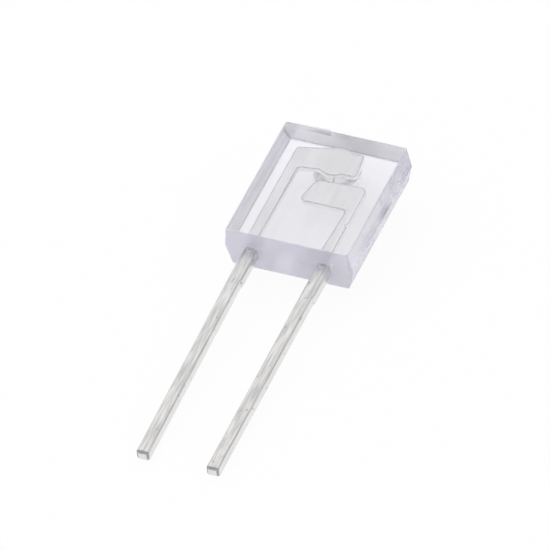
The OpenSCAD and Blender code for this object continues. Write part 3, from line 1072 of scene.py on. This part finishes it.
# %% [markdown]
# The chip's window is polished silicon under a thin dark coating, while its sides are duller from the
# saw. The glue is full of silver flakes. The gold wire was drawn through a die and has a warm satin
# gloss. All of them show from the lens side, enlarged by the dome. They are metals or look like one, and
# each has a grain of its own size, so one function makes all four from that size and two tones.

# %% Silicon, aluminium, gold and glue
GRAIN_DEPTH = 0.003


def grained_metal(name, size, dark, pale, smoothest, roughest, grain_strength):
    """A mirror-like surface whose tone, gloss and relief follow grains of a size in millimetres."""
    material, tree, output = new_material(name)
    grains = add(tree, "ShaderNodeTexNoise", {
        "Vector": in_package(tree, size),
        "Scale": 1.0,
    }).outputs["Fac"]
    tone = add(tree, "ShaderNodeMix", {
        "Factor": grains,
        "A": linear(dark),
        "B": linear(pale),
    }, data_type="RGBA").outputs["Result"]
    bump = add(tree, "ShaderNodeBump", {
        "Height": grains,
        "Strength": grain_strength,
        "Distance": GRAIN_DEPTH * MM,
    })
    metal_surface(tree, output, tone, grains, smoothest, roughest, bump.outputs["Normal"])
    return material


# Silicon lets no visible light in and sends back a fifth of it inside epoxy, so the eye sees a dark
# blue-grey mirror. The saw's lines run round its sides.
SAW_LINES = (0.05, 0.05, 0.008)
silicon = grained_metal(
    "coated silicon, sawn sides", SAW_LINES, "#666c7e", "#7b8293", 0.12, 0.3, 0.0
)
# Aluminium: the eye sees a bright line round the dark window. Its crystals are about 0.001 mm wide, and
# are drawn coarser.
CRYSTALS = (0.01, 0.01, 0.01)
aluminium = grained_metal("sputtered aluminium", CRYSTALS, "#d3d4d6", "#e4e5e6", 0.25, 0.25, 0.0)
# Gold: the eye sees a fine warm thread, the only warm colour inside the part.
DRAW_MARKS = (0.02, 0.02, 0.02)
gold = grained_metal("drawn gold wire", DRAW_MARKS, "#dcc794", "#ead9b0", 0.25, 0.25, 0.0)
# Glue: the eye sees a grainy satin grey, duller than the cup round it. Real flakes are about 0.005 mm
# long; they are drawn a little coarser, so that they show at all.
FLAKES = (0.008, 0.008, 0.008)
silver_glue = grained_metal("silver-filled glue", FLAKES, "#a5a39e", "#cfcecb", 0.5, 0.5, 0.7)

for piece, finish in ((chip, silicon), (chip, aluminium), (wire, gold), (glue, silver_glue)):
    piece.data.materials.append(finish)
    print(piece.name, "is finished in", finish.name)

# %% [markdown]
# The floor is a pale sheet that carries the part's soft shadow. A studio lights such a sheet far more
# than the object, until it is nearly white. Here the sheet knows what kind of ray looks at it: to the
# camera, in the gloss and through the epoxy it is lifted towards white, each by its own share, while
# the light on the part stays at a plain level. The share that is never lifted keeps the part's shadow.

# %% Floor sheet
FLOOR_SIDE = 0.6

reach = FLOOR_SIDE / 2
floor_mesh = bpy.data.meshes.new("floor")
floor_corners = [(-reach, -reach, 0), (reach, -reach, 0), (reach, reach, 0), (-reach, reach, 0)]
floor_mesh.from_pydata(floor_corners, [], [(0, 1, 2, 3)])
floor = into_scene("floor", floor_mesh)
print("floor, metres:", tuple(floor.dimensions))

# %% How white the sheet looks to each kind of ray
LIFT_TO_CAMERA = 0.93
LIFT_IN_GLOSS = 0.95
LIFT_THROUGH_EPOXY = 0.68


def by_ray(tree, in_gloss, through_epoxy):
    """One value for rays that mirror in the part and another for rays through its epoxy."""
    return add(tree, "ShaderNodeMapRange", {
        "Value": add(tree, "ShaderNodeLightPath").outputs["Is Transmission Ray"],
        "To Min": in_gloss,
        "To Max": through_epoxy,
    }).outputs["Result"]


def by_way_of_part(tree):
    """1 for rays that mirror in the part or pass through its epoxy, 0 for all others."""
    ray = add(tree, "ShaderNodeLightPath").outputs
    return add(tree, "ShaderNodeMath", {
        0: ray["Is Glossy Ray"],
        1: ray["Is Transmission Ray"],
    }, operation="MAXIMUM").outputs[0]


sheet, tree, output = new_material("pale studio sheet")
part_share = add(tree, "ShaderNodeMath", {
    0: by_way_of_part(tree),
    1: by_ray(tree, LIFT_IN_GLOSS, LIFT_THROUGH_EPOXY),
}, operation="MULTIPLY")
camera_share = add(tree, "ShaderNodeMath", {
    0: add(tree, "ShaderNodeLightPath").outputs["Is Camera Ray"],
    1: LIFT_TO_CAMERA,
}, operation="MULTIPLY")
share = add(tree, "ShaderNodeMath", {
    0: part_share.outputs[0],
    1: camera_share.outputs[0],
}, operation="MAXIMUM")
# The sheet itself is matt, nearly white paper, and the lift is plain white light.
paper = add(tree, "ShaderNodeBsdfDiffuse", {"Color": linear("#fafafa")})
lift = add(tree, "ShaderNodeEmission", {"Color": linear("#ffffff"), "Strength": 1.0})
both = add(tree, "ShaderNodeMixShader", {
    0: share.outputs[0],
    1: paper.outputs[0],
    2: lift.outputs[0],
})
tree.links.new(both.outputs[0], output.inputs["Surface"])
floor_mesh.materials.append(sheet)
print("the floor is a", sheet.name)

# %% [markdown]
# The light is a white tent. The rays that light the part see an even dome. Gloss sees the tent's shape:
# it is a little darker towards the camera's side, and a soft grey flag stands to the right behind the
# part. The flag is a photographer's trick for pale metal on white: each rounded right edge mirrors it
# and gets a thin dark line. Through the epoxy the tent is even and the flag is fainter. One weak
# softbox stands overhead and gives the soft shadow its direction.

# %% Tent and flag
SOFTBOX_WAY = Vector((-0.25, 0.6, 0.76)).normalized()
TENT_FULL = math.cos(math.radians(35))
TENT_END = math.cos(math.radians(75))
TENT_DARK = 0.8
TENT_DARK_THROUGH_EPOXY = 1.0
FLAG_WAY = package.to_3x3() @ Vector((0.5, 0.69, 0.52)).normalized()
FLAG_EDGE = math.cos(math.radians(34))
FLAG_CORE = math.cos(math.radians(20))
FLAG_DARK = 0.7
FLAG_DARK_THROUGH_EPOXY = 0.8
EVEN_LIGHT = 0.8
BACKDROP = 1.0

world = bpy.data.worlds.new("studio tent")
bpy.context.scene.world = world
world.use_nodes = True
tree = world.node_tree
tree.nodes.clear()
output = tree.nodes.new("ShaderNodeOutputWorld")
way = add(tree, "ShaderNodeTexCoord").outputs["Generated"]


def shading(centre, first, last, at_first, at_last):
    """A strength that changes with the angle from a direction, between two cosines."""
    toward = add(tree, "ShaderNodeVectorMath", {0: way, 1: centre}, operation="DOT_PRODUCT")
    return add(tree, "ShaderNodeMapRange", {
        "Value": toward.outputs["Value"],
        "From Min": first,
        "From Max": last,
        "To Min": at_first,
        "To Max": at_last,
    }).outputs["Result"]


darkest = by_ray(tree, TENT_DARK, TENT_DARK_THROUGH_EPOXY)
flag_darkest = by_ray(tree, FLAG_DARK, FLAG_DARK_THROUGH_EPOXY)
strength = add(tree, "ShaderNodeMath", {
    0: shading(SOFTBOX_WAY, TENT_END, TENT_FULL, darkest, 1.0),
    1: shading(FLAG_WAY, FLAG_EDGE, FLAG_CORE, 1.0, flag_darkest),
}, operation="MULTIPLY")
plain = add(tree, "ShaderNodeMapRange", {
    "Value": add(tree, "ShaderNodeLightPath").outputs["Is Camera Ray"],
    "To Min": EVEN_LIGHT,
    "To Max": BACKDROP,
})
even, seen = (
    add(tree, "ShaderNodeBackground", {"Color": linear("#ffffff"), "Strength": value})
    for value in (plain.outputs["Result"], strength.outputs[0])
)
mix = add(tree, "ShaderNodeMixShader", {
    0: by_way_of_part(tree),
    1: even.outputs[0],
    2: seen.outputs[0],
})
tree.links.new(mix.outputs[0], output.inputs["Surface"])
print(world.name, "nodes:", len(tree.nodes))

# %% Softbox
SOFTBOX_SIDE = 0.45
SOFTBOX_POWER = 0.3
SOFTBOX_PLACE = (-0.08, 0.05, 0.28)

lamp_data = bpy.data.lights.new("softbox", "AREA")
lamp_data.shape = "SQUARE"
lamp_data.size = SOFTBOX_SIDE
lamp_data.energy = SOFTBOX_POWER
lamp = into_scene("softbox", lamp_data)
lamp.location = SOFTBOX_PLACE
lamp.rotation_euler = (-lamp.location).to_track_quat("-Z", "Y").to_euler()
lamp.visible_glossy = False
lamp.visible_transmission = False
print("softbox above the floor, metres:", round(lamp.location.z, 3))

# %% [markdown]
# Light bounces many times between the clear body's walls before it comes out, so the renderer is
# allowed more bounces than it usually needs; with fewer, the thick edges go black.

# %% Renderer and view
BOUNCES = 32

bpy.context.scene.view_settings.view_transform = "Standard"
cycles = bpy.context.scene.cycles
cycles.max_bounces = BOUNCES
cycles.glossy_bounces = BOUNCES
cycles.transmission_bounces = BOUNCES
print("bounces:", cycles.max_bounces)
